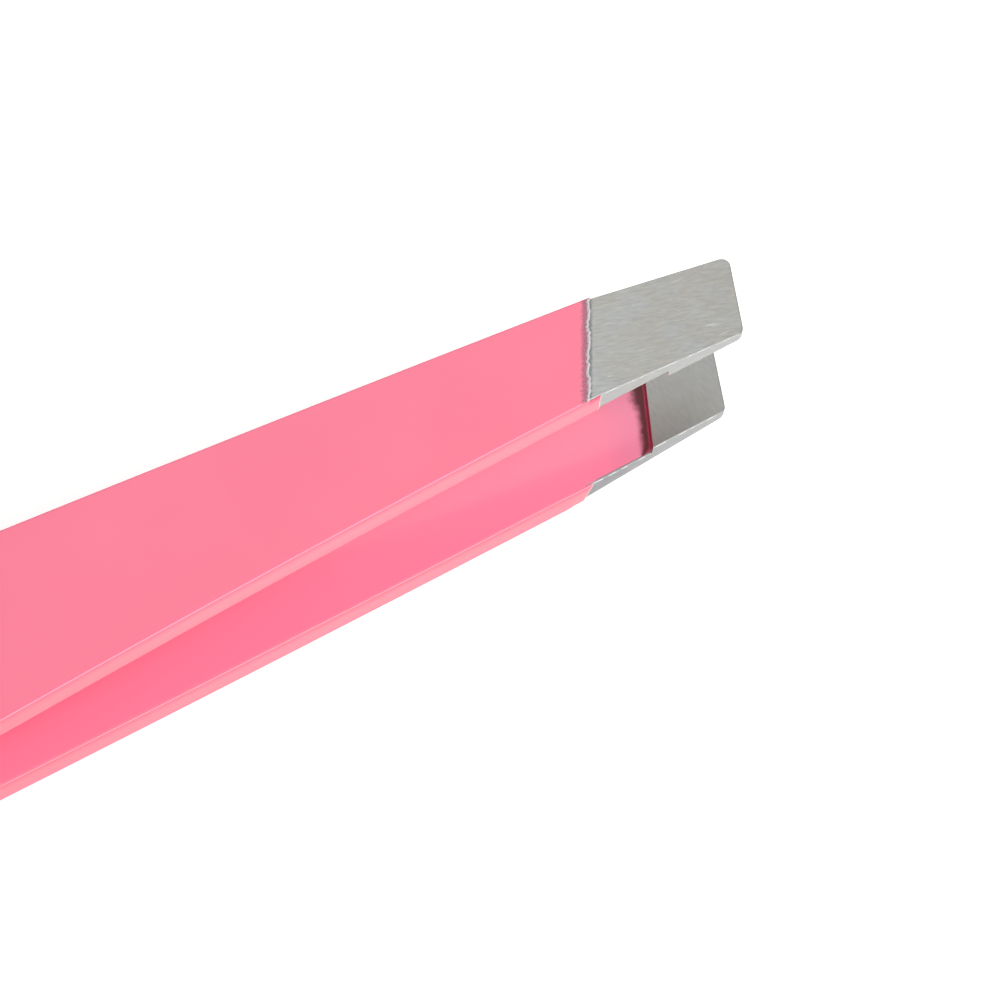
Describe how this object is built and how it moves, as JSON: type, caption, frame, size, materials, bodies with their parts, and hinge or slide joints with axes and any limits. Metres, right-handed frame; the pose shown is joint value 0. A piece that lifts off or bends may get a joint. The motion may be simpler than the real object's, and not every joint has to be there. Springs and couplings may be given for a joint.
{
  "type": "slant tweezers",
  "caption": "Spring-steel tweezers with bowed, powder-coated arms joined at the tail, bare ground tips, slanted ends and raised gripping pads.",
  "frame": {"origin": "centre of the bounding box, on the plane where the two arms meet when squeezed", "axes": "+X along the arms towards the tips, +Z through the upper arm at right angles to the closing plane, +Y across the arms towards the longer point of the slanted ends"},
  "size_m": [0.095, 0.0118, 0.0098],
  "materials": {
    "steel": "ground",
    "weld": "as welded",
    "powder_coat": "gloss powder coat"
  },
  "bodies": {
    "tail": {"tail_strip_upper": "steel", "tail_strip_lower": "steel", "weld_spots": "weld", "tail_coat": "powder_coat", "flexure_upper": "steel", "flexure_lower": "steel", "flexure_coat_upper": "powder_coat", "flexure_coat_lower": "powder_coat"},
    "upper_arm": {"arm_upper": "steel", "arm_coat_upper": "powder_coat"},
    "lower_arm": {"arm_lower": "steel", "arm_coat_lower": "powder_coat"}
  },
  "joints": [
    {"name": "upper_arm_flex", "type": "hinge", "parent": "tail", "child": "upper_arm", "pos_m": [-0.02536, 0, 0.00156], "axis": [0, 1, 0], "range_deg": [0, 2.55], "stiffness_Nm_per_rad": 6, "deforming": ["flexure_upper", "flexure_coat_upper"]},
    {"name": "lower_arm_flex", "type": "hinge", "parent": "tail", "child": "lower_arm", "pos_m": [-0.02536, 0, -0.00156], "axis": [0, -1, 0], "range_deg": [0, 2.55], "stiffness_Nm_per_rad": 6, "deforming": ["flexure_lower", "flexure_coat_lower"]}
  ],
  "couplings": [
    {"joint": "lower_arm_flex", "follows": "upper_arm_flex", "ratio": 1}
  ]
}
